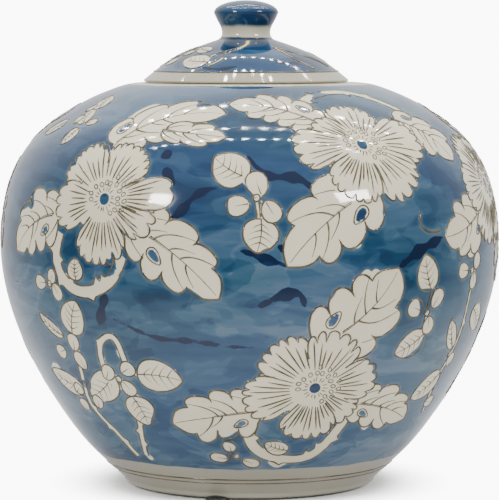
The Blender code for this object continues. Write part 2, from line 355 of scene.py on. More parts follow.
class Ground:
    """A turned surface to paint: its outline, its place, and all that is drawn on it in order."""

    def __init__(self, piece, body, slot, outline, lift, aside=0.0):
        self.piece, self.body, self.slot, self.lift, self.aside = piece, body, slot, lift, aside
        self.radii, self.heights = outline[::-1, 0], outline[::-1, 1]
        self.shapes, self.gaps, self.strokes, self.lines = [], [], [], []
        self.order = 0

    def point(self, azimuth, height):
        """A place on the surface, azimuth in degrees right of the front and height in millimetres."""
        turn = math.radians(azimuth)
        height *= MM
        radius = float(np.interp(height, self.heights, self.radii))
        rise = (float(np.interp(height + MM, self.heights, self.radii))
                - float(np.interp(height - MM, self.heights, self.radii))) / (2 * MM)
        away = np.array([math.sin(turn), -math.cos(turn), 0.0])
        normal = away + np.array([0.0, 0.0, -rise])
        place = radius * away + np.array([self.aside, 0.0, height + self.lift])
        return place, normal / np.linalg.norm(normal)

    def drop(self, places, out, sink):
        """Moves places straight in along a stencil's normal until they lie just under the surface."""
        near, far = np.full(len(places), -0.035), np.full(len(places), 0.035)
        for _ in range(22):
            middle = 0.5 * (near + far)
            spots = places + middle[:, None] * out
            radius = np.hypot(spots[:, 0] - self.aside, spots[:, 1])
            outside = radius > np.interp(spots[:, 2] - self.lift, self.heights, self.radii)
            far = np.where(outside, middle, far)
            near = np.where(outside, near, middle)
        return places + (0.5 * (near + far) - sink)[:, None] * out

    def clip(self):
        """Hides the lines that a later shape covers."""
        places = np.concatenate([line[2] for line in self.lines])
        order = np.concatenate([np.full(len(line[2]), line[0]) for line in self.lines])
        shown = np.ones(len(places), dtype=bool)
        for when, paper, shape in self.shapes:
            reach = np.abs(shape).max() * 1.5 * MM
            away = places - paper.middle
            near = np.nonzero((order < when) & shown & ((away * away).sum(1) < reach * reach + 4e-4))[0]
            if len(near):
                spots = np.stack([away[near] @ paper.right, away[near] @ paper.up], axis=1) / MM
                shown[near] &= distances(spots, shape) > -COVER_EDGE
        return np.split(shown, np.cumsum([len(line[2]) for line in self.lines])[:-1])

    def trace(self):
        """Turns the lines left in sight into thin raised drawings, one piece for each group."""
        groups = {}
        for (_, group, places, half), shown in zip(self.lines, self.clip()):
            start = None
            for k in range(len(shown) + 1):
                if k < len(shown) and shown[k]:
                    start = k if start is None else start
                elif start is not None:
                    if k - start > 1:
                        groups.setdefault(group, []).append((places[start:k], half[start:k]))
                    start = None
        for group, runs in groups.items():
            bpy.ops.object.select_all(action="DESELECT")
            bpy.ops.curve.primitive_bezier_curve_add(location=(0, 0, 0))
            drawing = bpy.context.object
            drawing.name = drawing.data.name = group
            drawing.data.splines.clear()
            for places, half in runs:
                spline = drawing.data.splines.new("POLY")
                spline.points.add(len(places) - 1)
                spline.points.foreach_set("co", np.insert(places, 3, 1.0, axis=1).ravel())
                spline.points.foreach_set("radius", np.hypot(half, LINE_SINK / MM))
            drawing.data.bevel_depth = MM
            drawing.data.bevel_resolution = 1
            drawing.data.use_fill_caps = True
            bpy.ops.object.convert(target="MESH")
            bpy.ops.object.shade_smooth()
            drawing = bpy.context.object
            drawing.data.materials.clear()
            drawing.data.materials.append(iron_brown)
            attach(drawing, self.body)


COVER_EDGE = 0.25
BRUSH = 1.36


class Stencil:
    """A flat paper laid against the surface at one place, with its drawing in millimetres."""

    def __init__(self, ground, group, azimuth, height):
        self.ground, self.group = ground, group
        self.middle, self.out = ground.point(azimuth, height)
        turn = math.radians(azimuth)
        self.right = np.array([math.cos(turn), math.sin(turn), 0.0])
        self.up = np.cross(self.out, self.right)

    def flat(self, azimuth, height):
        """Where a place on the surface falls on the paper."""
        away = self.ground.point(azimuth, height)[0] - self.middle
        return np.array([away @ self.right, away @ self.up]) / MM

    def bare(self, shape):
        """Keeps the blue off a closed shape and covers what was drawn there before."""
        self.ground.order += 1
        self.ground.shapes.append((self.ground.order, self, np.array(shape)))

    def gap(self, shape):
        """Lets the blue into a closed shape inside a bare one."""
        self.ground.gaps.append((0, self, np.array(shape)))

    def stroke(self, shape):
        """Fills a closed shape with strong cobalt."""
        self.ground.strokes.append((0, self, np.array(shape)))

    def line(self, points, start=0.46, end=None, closed=False, swell=False):
        """Draws a brown line that tapers from one half width to another, or swells in its middle."""
        points = np.array(points, dtype=float)
        if closed:
            points = np.concatenate([points, points[:1]])
        share = np.linspace(0.0, 1.0, len(points))
        half = start + ((start if end is None else end) - start) * share
        if swell:
            half = 0.09 + start * np.sin(math.pi * np.clip(share, 0.05, 1.0)) ** 0.6
        half *= BRUSH * (1.0 + 0.14 * np.sin(points[:, 0] * 0.7 + points[:, 1] * 0.9))
        places = self.middle + MM * (points[:, :1] * self.right + points[:, 1:] * self.up)
        places = self.ground.drop(places, self.out, LINE_SINK)
        self.ground.order += 1
        self.ground.lines.append((self.ground.order, self.group, places, half))


FLOWER_MIDDLE = 38.0
HEART = 3.4
PETAL_SIDE_STEPS = 7
LEAFLET_BEND = 0.06
LEAFLET_VEINS = 4
RIB_STEPS = 40


def bezier(first, second, third, last, steps):
    """Points along one Bezier curve."""
    t = np.linspace(0.0, 1.0, steps + 1)[:, None]
    first, second, third, last = map(np.array, (first, second, third, last))
    return ((1 - t) ** 3 * first + 3 * (1 - t) ** 2 * t * second
            + 3 * (1 - t) * t ** 2 * third + t ** 3 * last)


def along(points, step=LINE_STEP):
    """A smooth curve through the points, with a point every step."""
    length = np.linalg.norm(np.diff(np.array(points, dtype=float), axis=0), axis=1).sum()
    return smooth_curve(points, max(3, int(length / step)))


def polar(angle, radius):
    """A place on the paper from its direction in degrees and its distance."""
    return np.array([radius * math.cos(math.radians(angle)), radius * math.sin(math.radians(angle))])


def oval(centre, length, width, angle, steps=12, point=0.0):
    """A closed oval, drawn to a point at its far end by the point share."""
    t = np.linspace(0.0, math.tau, steps, endpoint=False)
    x = 0.5 * length * np.cos(t)
    y = 0.5 * width * np.sin(t) * (1.0 - point * np.cos(t))
    turn = math.radians(angle)
    return np.stack([centre[0] + x * math.cos(turn) - y * math.sin(turn),
                     centre[1] + x * math.sin(turn) + y * math.cos(turn)], axis=1)


def petal(paper, centre, direction, spread, length, teeth, depth, droop=0.14, front=False, ribs=7):
    """One flower petal: a fan whose rim is cut into rounded teeth, with fine ribs from the heart."""
    edges = np.linspace(0.0, teeth, teeth + 1)
    edges[1:-1] += rng.uniform(-0.22, 0.22, teeth - 1)
    rim = []
    for first, last in zip(edges, edges[1:]):
        cut = depth * rng.uniform(0.6, 1.3)
        for share in np.linspace(0.0, 1.0, 8)[:-1]:
            t = 2.0 * (first + (last - first) * share) / teeth - 1.0
            bulge = math.sqrt(max(0.0, 1.0 - (2.0 * share - 1.0) ** 2))
            reach = length * (1.0 - 1.8 * droop * abs(t) ** 3.2) - length * cut * (1.0 - bulge)
            rim.append(polar(direction + spread * t, reach))
        if depth > 0.05 and last < teeth:
            t = 2.0 * last / teeth - 1.0
            outside = length * (1.0 - 1.8 * droop * abs(t) ** 3.2 - cut)
            notch = polar(direction + spread * t * 0.96, outside - length * rng.uniform(0.03, 0.13))
            paper.line([centre + polar(direction + spread * t, outside), centre + notch], 0.34, 0.08)
    rim.append(polar(direction + spread, length * (1.0 - 1.8 * droop) - length * depth))
    near = [polar(direction + side * spread, 0.36 * length) for side in (-1, 1)]
    waist = [polar(direction + side * spread * 1.04, 0.70 * length) for side in (-1, 1)]
    side_in = bezier(near[0], near[0] * 1.4, waist[0], rim[0], PETAL_SIDE_STEPS)
    side_out = bezier(rim[-1], waist[1], near[1] * 1.4, near[1], PETAL_SIDE_STEPS)
    shape = centre + np.concatenate([side_in[:-1], rim, side_out[1:]])
    paper.bare(np.concatenate([shape, [centre]]))
    paper.line(shape if front else shape[3:-3], 0.42)
    for rib in range(ribs):
        t = 1.76 * (rib + rng.uniform(0.3, 0.7)) / ribs - 0.88
        way = direction + spread * t
        start = 0.34 * length * rng.uniform(0.95, 1.15)
        reach = length * rng.uniform(0.66, 0.90)
        paper.line([centre + polar(way + t * share, start + (reach - start) * share)
                    for share in (0.0, 0.2, 0.5, 0.8, 1.0)], 0.31, swell=True)


def blossom(paper, petals, navy):
    """A whole flower: its petals, a ring of small stamens, short dashes, and a blue heart."""
    centre = np.zeros(2)
    paper.bare(oval(centre, FLOWER_MIDDLE, FLOWER_MIDDLE, 0, 36))
    paper.gap(oval(centre, 2 * HEART, 2.1 * HEART, 0, 16))
    for one in petals:
        petal(paper, centre, *one)
    if navy:
        paper.stroke(oval(centre, 1.9 * HEART, 2.0 * HEART, 0, 14))
    for k in range(15):
        angle = 330.0 * (k + rng.uniform(-0.2, 0.2)) / 15 - 60.0
        far = rng.uniform(8.8, 10.6)
        if 200.0 < angle % 360.0 < 290.0:
            continue
        anther = oval(centre + polar(angle, far), 3.0, 2.2, angle + rng.uniform(-30, 30), 8)
        paper.line(anther, 0.26, closed=True)
        if -45.0 < angle < 75.0:
            spot = centre + polar(angle + 11.0, far + 3.6)
            paper.line(oval(spot, 2.9, 2.1, angle + 40, 8), 0.24, closed=True)
    for k in range(17):
        angle = 360.0 * k / 17 + rng.uniform(-5, 5)
        paper.line([centre + polar(angle, HEART + 0.9), centre + polar(angle + 1.5, HEART + 2.4),
                    centre + polar(angle, rng.uniform(6.2, 8.2))], 0.2, swell=True)


def lobed_leaf(paper, base, tip, width, lobes, bend, eye):
    """A big leaf: round lobes along a curved midrib, veins into each lobe, and a blue eye."""
    way = tip - base
    length = float(np.linalg.norm(way))
    across = np.array([-way[1], way[0]]) / length
    bow = bend * length * across
    rib = bezier(base, base + 0.33 * way + bow, base + 0.7 * way + bow, tip, RIB_STEPS)
    rib_side = directions(rib)[1]

    def beside(share, out):
        i = min(RIB_STEPS, max(0.0, RIB_STEPS * share))
        k = min(RIB_STEPS - 1, int(i))
        mix = i - k
        place = rib[k] * (1 - mix) + rib[k + 1] * mix
        aside = rib_side[k] * (1 - mix) + rib_side[k + 1] * mix
        return place + out * aside

    rims, veins = [], []
    for side in (1.0, -1.0):
        edges = np.linspace(0.02, 0.74, lobes + 1) + (0.03 if side > 0 else -0.01)
        edges[1:-1] += rng.uniform(-0.025, 0.025, lobes - 1)
        rim = [beside(edges[0], side * 0.7)]
        span = edges[1] - edges[0]
        for first, last in zip(edges, edges[1:]):
            middle = 0.5 * (first + last)
            full = side * width * math.sin(math.pi * min(1.0, 0.20 + 0.80 * middle)) ** 0.6
            full *= rng.uniform(0.92, 1.08)
            back = 0.05 if len(rim) > 1 else 0.30
            rim.extend(bezier(rim[-1], beside(first - back * span, full * 1.16),
                              beside(last + 0.26 * span, full * 1.36), beside(last, full * 0.62), 13)[1:])
            veins.append(bezier(beside(max(0.0, first - 0.02), 0.0), beside(first + 0.03, 0.42 * full),
                                beside(middle, 0.62 * full), beside(middle + 0.14, 0.80 * full), 7))
            if rng.random() < 0.6:
                veins.append(bezier(beside(middle, 0.0), beside(middle + 0.02, 0.16 * full),
                                    beside(middle + 0.06, 0.3 * full), beside(last + 0.05, 0.46 * full), 5))
        rim.extend(bezier(rim[-1], beside(0.88, side * width * 0.62), beside(0.95, side * width * 0.30),
                          tip, 9)[1:])
        rims.append(np.array(rim))
    shape = np.concatenate([rims[0], rims[1][::-1]])
    paper.bare(shape)
    if eye:
        side = 1.0 if eye > 0 else -1.0
        spot = beside(abs(eye), side * 0.45 * width)
        angle = math.degrees(math.atan2(*(beside(abs(eye) + 0.12, side * 0.58 * width) - spot)[::-1]))
        eye_shape = oval(spot, 0.17 * length, 0.095 * length, angle, 16, 0.35)
        paper.gap(oval(spot, 0.14 * length, 0.065 * length, angle, 14, 0.35))
        paper.line(eye_shape, 0.34, closed=True)
    paper.line(rims[0], 0.44)
    paper.line(rims[1], 0.44)
    for vein in veins:
        if not eye or np.linalg.norm(np.array(vein) - spot, axis=1).min() > 0.09 * length:
            paper.line(vein, 0.44, 0.14)
    paper.line([beside(s, 0.55 * (1 - s)) for s in np.linspace(0.0, 0.96, 14)], 0.38, 0.16)
    paper.line([beside(s, -0.65 * (1 - s)) for s in np.linspace(0.0, 0.5, 8)], 0.34, 0.1)


def leaflet(paper, base, tip, width):
    """A small plain leaf, pointed at its tip, with a midrib and paired veins."""
    way = tip - base
    length = float(np.linalg.norm(way))
    across = np.array([-way[1], way[0]]) / length
    middle = [base + s * way + LEAFLET_BEND * length * math.sin(math.pi * s) * across
              for s in np.linspace(0, 1, 9)]
    sides = []
    for side in (0.5, -0.5):
        bulge = LEAFLET_BEND * length * across
        sides.append(bezier(base, base + 0.02 * way + side * 1.55 * width * across + bulge,
                            base + 0.80 * way + side * 1.35 * width * across + bulge, tip, 12))
    paper.bare(np.concatenate([sides[0], sides[1][::-1]]))
    for side in sides:
        paper.line(side, 0.40)
    paper.line(middle, 0.34, 0.14)
    for k in range(LEAFLET_VEINS):
        s = 0.15 + 0.7 * k / LEAFLET_VEINS
        root = base + s * way + LEAFLET_BEND * length * math.sin(math.pi * s) * across
        for side in (0.5, -0.5):
            full = math.sin(math.pi * (0.12 + 0.8 * s)) * 0.78
            paper.line([root, root + 0.07 * way + side * 0.5 * full * width * across,
                        root + 0.17 * way + side * full * width * across], 0.26, 0.09)


def bud(paper, spot, length, width, angle):
    """A small round bud or berry with a short stroke at its heart."""
    shape = oval(spot, length, width, angle, 14, -0.15)
    paper.bare(shape)
    paper.line(shape, 0.38, closed=True)
    turn = polar(angle, length)
    spot = np.array(spot)
    paper.line([spot - 0.42 * turn, spot - 0.2 * turn, spot + 0.12 * turn], 0.3, 0.1)


def branch(paper, points, start, end, barbs=()):
    """A bare white branch between two brown lines, with small thorns."""
    path = along(points)
    way, aside = directions(path)
    half = np.linspace(start, end, len(path))[:, None] / 2
    left, right = path + aside * half, path - aside * half
    for share, side, length in barbs:
        i = int(share * (len(path) - 1))
        edge = left if side > 0 else right
        edge[i] += side * length * aside[i] + 0.5 * length * way[i]
        edge[i - 1:i] += 0.30 * side * length * aside[i - 1:i]
        edge[i + 1:i + 2] += 0.45 * side * length * aside[i + 1:i + 2]
    paper.bare(np.concatenate([left, right[::-1]]))
    paper.line(left, 0.38)
    paper.line(right, 0.38)


def cobalt_stroke(paper, points, width):
    """One loaded stroke of strong cobalt, swelling and thinning along its way."""
    path = along(points, 2.0)
    aside = directions(path)[1]
    share = np.linspace(0.0, 1.0, len(path))
    half = (0.5 * width * np.sin(math.pi * np.clip(share, 0.02, 0.98)) ** 0.6
            * (1.0 + 0.42 * np.sin(0.9 * np.arange(len(path)) + 1.0)))[:, None]
    paper.stroke(np.concatenate([path + aside * half, (path - aside * half)[::-1]]))


# The drawing's brown: iron oxide ground fine in water, uneven where the brush was loaded.
iron_brown, shader, nodes = start_finish("iron_brown_line")
where = nodes.add("ShaderNodeTexCoord", output="Object")
load = nodes.add("ShaderNodeTexNoise", {}, {"Vector": where, "Scale": 120.0, "Detail": 2.0})
give(shader, Base_Color=load.ramp(0.3, 0.7).mix((0.048, 0.038, 0.018), (0.115, 0.092, 0.048)),
     Roughness=0.12)

# Each flower: its heart, whether the heart is strong cobalt, and its petals from back to front. A
# petal is its direction, half spread, length, teeth, depth of teeth, droop, and whether it is in front.
FLOWERS = {
    "left": ((-34.0, 173.5), False, [
        (69, 36, 34, 9, 0.08, 0.10), (133, 32, 38, 9, 0.07, 0.12), (-24, 27, 35, 4, 0.14, 0.2),
        (188, 33, 36, 6, 0.09, 0.16), (9, 24, 42, 2, 0.04, 0.4, True, 7),
        (-91, 38, 36, 8, 0.10, 0.14, True, 10)]),
    "right": ((29.5, 203.0), False, [
        (82, 36, 34, 8, 0.09, 0.12), (140, 27, 30, 5, 0.10, 0.14), (178, 26, 41, 5, 0.13, 0.10),
        (12, 32, 42, 7, 0.08, 0.12), (-48, 34, 38, 6, 0.14, 0.12), (-116, 37, 35, 8, 0.09, 0.12, True, 10)]),
    "low": ((16.5, 69.7), True, [
        (137, 34, 38, 7, 0.12, 0.12), (-42, 27, 33, 5, 0.12, 0.14), (6, 30, 37, 5, 0.10, 0.16),
        (72, 35, 36, 6, 0.15, 0.10), (-164, 31, 40, 7, 0.11, 0.14), (-90, 36, 36, 7, 0.11, 0.12, True, 10)]),
    "side": ((74.0, 178.0), False, [
        (120, 34, 34, 7, 0.10, 0.12), (60, 33, 33, 7, 0.08, 0.12), (0, 32, 36, 6, 0.12, 0.12),
        (-62, 34, 35, 7, 0.10, 0.12), (-125, 34, 37, 6, 0.12, 0.12, True, 9), (180, 32, 35, 7, 0.09, 0.12)]),
}

# Each big leaf: where it starts, where its tip is, its half width, its lobes, its bend and its eye.
LEAVES = {
    "over_left_flower": [((-37, 200), (-7, 219.5), 17, 3, 0.16, 0.20),
                         ((-24, 211), (-6, 207.5), 9, 2, -0.05, 0)],
    "right_of_left_flower": [((-27, 161), (-6.5, 121), 17, 3, 0.08, -0.34)],
    "left_of_left_flower": [((-46, 164), (-64, 141), 17, 3, -0.16, 0.30)],
    "left_of_right_flower": [((20, 214), (-7, 224.5), 15, 4, -0.10, -0.26)],
    "under_right_flower": [((31, 181), (8, 138.5), 19, 3, -0.10, 0.28)],
    "beyond_right_flower": [((46, 216), (59, 192), 17, 3, 0.12, 0.24)],
    "over_low_flower": [((13.5, 93), (34, 136), 21, 3, -0.12, 0.28)],
    "left_of_low_flower": [((3, 57), (-22, 48), 17, 3, -0.06, 0.24)],
    "right_of_low_flower": [((27, 60), (51, 46), 14, 3, 0.10, -0.26)],
    "left_of_side_flower": [((67, 168), (48, 151), 16, 3, 0.10, 0.30)],
    "under_side_flower": [((78, 160), (88, 121), 17, 3, -0.08, 0.26)],
    "over_side_flower": [((80, 203), (101, 217), 16, 3, 0.10, 0.26)],
}

# Each small leaf: where it starts and where its tip is, and its width.
LEAFLETS = {
    "thorn": ((-41, 139), [((-41, 128), (-41, 140.5), 11)]),
    "scroll": ((12, 36), [((12, 32), (4.5, 37), 9.5)]),
    "middle": ((0, 176), [((-0.5, 186), (-8.5, 197), 19), ((2.5, 164.5), (1.5, 146), 18)]),
    "upper_left": ((-60, 212), [((-54.5, 210.5), (-57, 201.5), 10), ((-55, 213), (-60, 221), 10),
                                ((-57, 221), (-62.5, 228), 11), ((-66, 214), (-73, 206), 10)]),
    "lower_left": ((-45, 90), [((-45.5, 97), (-42, 116.5), 17), ((-49, 64), (-61.5, 73), 14),
                               ((-49, 95), (-57, 107), 7)]),
    "arch_left": ((-30, 74), [((-28.5, 76.5), (-16.5, 74), 19), ((-36, 75), (-47, 60), 17),
                              ((-32, 63), (-30, 45.5), 17)]),
    "right": ((43, 112), [((44, 122), (41.5, 142.5), 15), ((44.5, 97.5), (36.5, 87), 15)]),
    "far_right": ((60, 105), [((58, 72), (49, 58), 15), ((59, 86), (54, 104), 9), ((64, 108), (71, 94), 13),
                              ((60, 139), (57, 152), 12)]),
    "side_low": ((84, 75), [((84, 78), (80, 102), 15), ((86, 74), (98, 80), 15), ((84, 70), (76, 55), 14),
                            ((87, 70), (94, 52), 14)]),
    "beyond": ((97, 165), [((97, 170), (94, 192), 15), ((98, 160), (102, 140), 14)]),
}

# Each bud: where it is, its length, its width and its direction.
BUDS = {
    "middle": [((1.7, 183), 15, 12, 110), ((4.7, 168.5), 13, 11, 300), ((-2.5, 171.5), 13, 11.5, 190),
               ((1.5, 175.6), 4, 4, 0)],
    "upper_left": [((-51.5, 214), 9, 6, 20), ((-60, 215), 9, 6, 100), ((-62, 221), 8, 6, 60)],
    "lower_left": [((-46, 92), 11, 9.5, 80), ((-52, 85.5), 9.5, 9, 200), ((-45.5, 81.5), 12, 9, 110),
                   ((-45.5, 57), 10, 8, 70), ((-52.5, 54), 9, 8, 100), ((-51.5, 63.5), 9, 8, 40)],
    "arch_left": [((-37.3, 76), 11, 9, 60), ((-31, 79), 10.5, 9.5, 30), ((-32.3, 67.8), 11, 9.5, 300),
                  ((-34.5, 72.8), 4, 4, 0)],
    "right": [((40, 112.5), 12, 11, 160), ((46.5, 117), 12, 10, 60), ((45.2, 102), 11, 9, 280),
              ((43.8, 109.5), 4, 4, 0)],
    "far_right": [((60.5, 54), 10, 8, 0), ((60.5, 79), 9, 8, 100), ((55.5, 131), 11, 9, 180),
                  ((61.5, 135.5), 10, 8.5, 60), ((60.5, 124.5), 10, 8.5, 280), ((59.3, 130.5), 3.6, 3.6, 0)],
    "thorn": [((-53.5, 125), 10.5, 8.5, 180), ((-47.8, 120.5), 10.5, 8.5, 300), ((-49, 129), 9, 8, 60),
              ((-50.2, 124.8), 3.6, 3.6, 0)],
    "scroll": [((0.5, 24.5), 10.5, 7.5, 340), ((-4.6, 28.5), 5, 5, 0), ((-9.5, 27.5), 11, 7.5, 180),
               ((-6, 34.5), 9.5, 7.5, 110)],
    "side_low": [((80, 76), 9, 8, 180), ((87, 79), 9, 8, 60), ((86, 66), 9, 8, 300)],
    "beyond": [((94.5, 165), 9, 8, 180), ((100.5, 166), 9, 8, 10)],
}

# Each branch: its way, its width at its start and its end, and its thorns.
BRANCHES = {
    "thorn": ((-41, 139), [
        ((-46, 154), (-47, 141), (-45.5, 130), (-41, 122.5), (-35, 124), (-30.5, 132), (-28.5, 143)),
        6.6, 6.8, [(0.12, -1, 4), (0.2, 1, 3), (0.34, -1, 3), (0.42, 1, 3.4), (0.62, -1, 2.5),
                   (0.70, 1, 5), (0.76, 1, 3)]]),
    "scroll": ((12, 36), [
        ((1.5, 54), (0, 40), (4.5, 30), (12, 26.5), (19, 27.5), (24, 36), (27.5, 50)), 6.8, 6.2,
        [(0.10, -1, 3), (0.2, 1, 4), (0.34, 1, 3), (0.48, -1, 2), (0.66, 1, 4), (0.76, 1, 3),
         (0.84, -1, 3)]]),
    "crown": ((36, 225), [
        ((17.5, 219), (19, 226), (26, 229.4), (42.5, 230), (50, 226), (55, 220)), 6.4, 5.0,
        [(0.2, -1, 4), (0.3, 1, 3), (0.6, -1, 3), (0.75, 1, 3)]]),
    "arch_left": ((-35, 88), [
        ((-38, 76), (-37.8, 88), (-36, 95.5), (-33, 97.3), (-31.6, 91), (-31, 80)), 3.8, 3.8,
        [(0.4, 1, 1.5)]]),
    "arch_stem": ((-34, 44), [
        ((-32, 60), (-33, 46), (-34.5, 37), (-36.5, 26)), 3.6, 3.0,
        [(0.35, 1, 2.4), (0.55, -1, 2.4), (0.75, 1, 2)]]),
    "lower_left": ((-47, 58), [
        ((-46, 86), (-47.5, 70), (-49, 55), (-44.5, 40), (-40.5, 25)), 3.0, 3.6,
        [(0.5, 1, 2.2), (0.7, -1, 2), (0.86, 1, 2)]]),
    "middle": ((0, 176), [((2, 164), (1.5, 175), (-0.5, 187)), 2.0, 2.0, []]),
    "right": ((43, 105), [((39, 89), (43.5, 100), (43.8, 110), (44.5, 123)), 2.0, 2.0, []]),
    "far_right": ((60, 90), [((62, 139), (60, 120), (60, 88), (58, 70), (60.5, 48)), 2.4, 3.0,
                             [(0.4, 1, 2), (0.6, -1, 2)]]),
    "tendril": ((42, 159), [((41, 165.5), (40.4, 160), (42, 155.5), (46.5, 155)), 0.5, 0.5, []]),
    "side_low": ((84, 60), [((84, 74), (83, 58), (87, 40)), 2.6, 3.2, [(0.6, 1, 2)]]),
    "beyond": ((97, 166), [((96, 172), (98, 160)), 2.0, 2.0, []]),
}

# The strokes of strong cobalt, and how wide each is.
COBALT = [
    ((-15, 171), [(-20, 160), (-15.5, 167), (-11, 178), (-7, 181)], 4.5),
    ((8, 184), [(-0.5, 198), (4.5, 187), (10.5, 186), (14, 181), (17.5, 173)], 5.0),
    ((3, 143), [(-2, 148), (3, 143), (8.5, 139)], 4.6),
    ((40, 145), [(34, 136), (39.5, 144.5), (47.5, 151)], 6.0),
    ((-20, 101), [(-32, 108), (-26.5, 102.5), (-20.5, 98), (-15, 97.5), (-8, 95.5), (1, 94)], 2.6),
    ((8, 120), [(2, 117), (6, 122), (11, 123), (12, 116)], 5.5),
    ((-19, 191), [(-21, 200), (-19.5, 196)], 6.0),
    ((-18, 184), [(-20, 191), (-17, 182)], 6.0),
    ((-34, 113), [(-33, 122), (-36, 104)], 6.5),
    ((-21, 152), [(-22, 158), (-19.5, 146)], 3.4),
    ((-70, 155), [(-68, 186), (-71, 150), (-69, 126), (-58, 125)], 1.4),
    ((9, 146), [(6, 150), (12, 141)], 5.0),
    ((29, 60), [(27, 56), (31, 50)], 5.0),
    ((70, 150), [(66, 158), (69, 146)], 4.0),
    ((90, 110), [(84, 118), (92, 108), (98, 112)], 4.0),
    ((56, 62), [(52, 66), (60, 58)], 4.0),
]


def decorate(ground, turn, name):
    """Draws the whole garland once, turned round the jar, from its branches up to its flowers."""
    papers = {}
    for sprig, (place, (way, start, end, barbs)) in BRANCHES.items():
        papers[sprig] = paper = Stencil(ground, f"drawing_{name}_sprig_{sprig}", place[0] + turn, place[1])
        branch(paper, [paper.flat(azimuth + turn, height) for azimuth, height in way], start, end, barbs)
    for sprig, (place, drawn) in LEAFLETS.items():
        if sprig not in papers:
            papers[sprig] = Stencil(ground, f"drawing_{name}_sprig_{sprig}", place[0] + turn, place[1])
        paper = papers[sprig]
        for base, tip, width in drawn:
            leaflet(paper, paper.flat(base[0] + turn, base[1]), paper.flat(tip[0] + turn, tip[1]), width)
    for sprig, drawn in BUDS.items():
        paper = papers[sprig]
        for (azimuth, height), length, width, angle in drawn:
            bud(paper, paper.flat(azimuth + turn, height), length, width, angle)
    for leaf, drawn in LEAVES.items():
        base, tip = drawn[0][:2]
        paper = Stencil(ground, f"drawing_{name}_leaf_{leaf}", 0.5 * (base[0] + tip[0]) + turn,
                        0.5 * (base[1] + tip[1]))
        for base, tip, width, lobes, bend, eye in drawn:
            lobed_leaf(paper, paper.flat(base[0] + turn, base[1]), paper.flat(tip[0] + turn, tip[1]),
                       width, lobes, bend, eye)
    for flower, ((azimuth, height), navy, petals) in FLOWERS.items():
        blossom(Stencil(ground, f"drawing_{name}_flower_{flower}", azimuth + turn, height), petals, navy)
    for place, way, width in COBALT:
        paper = Stencil(ground, "", place[0] + turn, place[1])
        cobalt_stroke(paper, [paper.flat(azimuth + turn, height) for azimuth, height in way], width)


def distances(places, shape):
    """Signed distance from each place to a closed shape's rim, negative inside it."""
    ends = np.roll(shape, -1, axis=0)
    edge = ends - shape
    from_start = places[:, None, :] - shape[None]
    share = np.clip((from_start * edge).sum(2) / np.maximum((edge * edge).sum(1), 1e-9), 0.0, 1.0)
    nearest = np.linalg.norm(from_start - share[:, :, None] * edge[None], axis=2).min(1)
    above = shape[None, :, 1] > places[:, None, 1]
    crosses = above != (ends[None, :, 1] > places[:, None, 1])
    steep = np.where(np.abs(edge[:, 1]) < 1e-9, 1e-9, edge[:, 1])
    at = shape[None, :, 0] + edge[None, :, 0] * (places[:, None, 1] - shape[None, :, 1]) / steep[None]
    turns = np.where(above, 1, -1)
    inside = (turns * (crosses & (places[:, None, 0] < at))).sum(1) != 0
    return np.where(inside, -nearest, nearest)


FAR = 8.0
GAP_STEEPNESS = 3.0
INSIDE_MARGIN = 0.002


def measure(ground, name, drawn, gaps=()):
    """Stores how far each point is from the nearest drawn shape, in mm. The inside is left bare."""
    mesh = ground.piece.data
    places = np.zeros(len(mesh.vertices) * 3)
    mesh.vertices.foreach_get("co", places)
    places = places.reshape(-1, 3)
    normals = np.zeros(len(mesh.vertices) * 3)
    mesh.vertices.foreach_get("normal", normals)
    normals = normals.reshape(-1, 3)

    def spread(shapes):
        nearest = np.full(len(places), FAR)
        for _, paper, shape in shapes:
            away = (places - paper.middle) / MM
            x, y, z = away @ paper.right, away @ paper.up, away @ paper.out
            low, high = shape.min(0) - FAR, shape.max(0) + FAR
            near = np.nonzero((x > low[0]) & (x < high[0]) & (y > low[1]) & (y < high[1]) & (z > -60.0)
                              & (normals @ paper.out > 0.1))[0]
            if len(near):
                to_shape = distances(np.stack([x[near], y[near]], axis=1), shape)
                nearest[near] = np.minimum(nearest[near], to_shape)
        return nearest

    nearest = spread(drawn)
    if gaps:
        nearest = np.maximum(nearest, -GAP_STEEPNESS * spread(gaps))
    rise = places[:, 2] - ground.lift
    skin = np.interp(rise, ground.heights, ground.radii) - INSIDE_MARGIN
    within = (np.hypot(places[:, 0] - ground.aside, places[:, 1]) < skin) & (rise < ground.heights.max())
    nearest[within] = -FAR
    mesh.attributes.new(name, "FLOAT", "POINT").data.foreach_set("value", nearest)


ground = Ground(jar, "jar", "painted_porcelain", outer, FOOT_HEIGHT)
decorate(ground, 0.0, "front")
decorate(ground, 180.0, "back")
ground.trace()
measure(ground, "bare", ground.shapes, ground.gaps)
measure(ground, "cobalt", ground.strokes)


def ring_line(ground, name, height, half):
    """A brown line drawn all round on the wheel with a loaded brush, in millimetres."""
    radius = float(np.interp(height * MM, ground.heights, ground.radii))
    bpy.ops.object.select_all(action="DESELECT")
    bpy.ops.mesh.primitive_torus_add(major_segments=240, minor_segments=8,
                                     major_radius=radius - LINE_SINK,
                                     minor_radius=math.hypot(half * MM, LINE_SINK), location=(0, 0, 0))
    line = bpy.context.object
    line.name = line.data.name = name
    bpy.ops.object.mode_set(mode="EDIT")
    bpy.ops.transform.translate(value=(ground.aside, 0, height * MM + ground.lift))
    bpy.ops.object.mode_set(mode="OBJECT")
    bpy.ops.object.shade_smooth()
    line.data.materials.append(iron_brown)
    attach(line, ground.body)


ring_line(ground, "foot_line_upper", 12.8, 0.55)
ring_line(ground, "foot_line_lower", 10.3, 0.42)
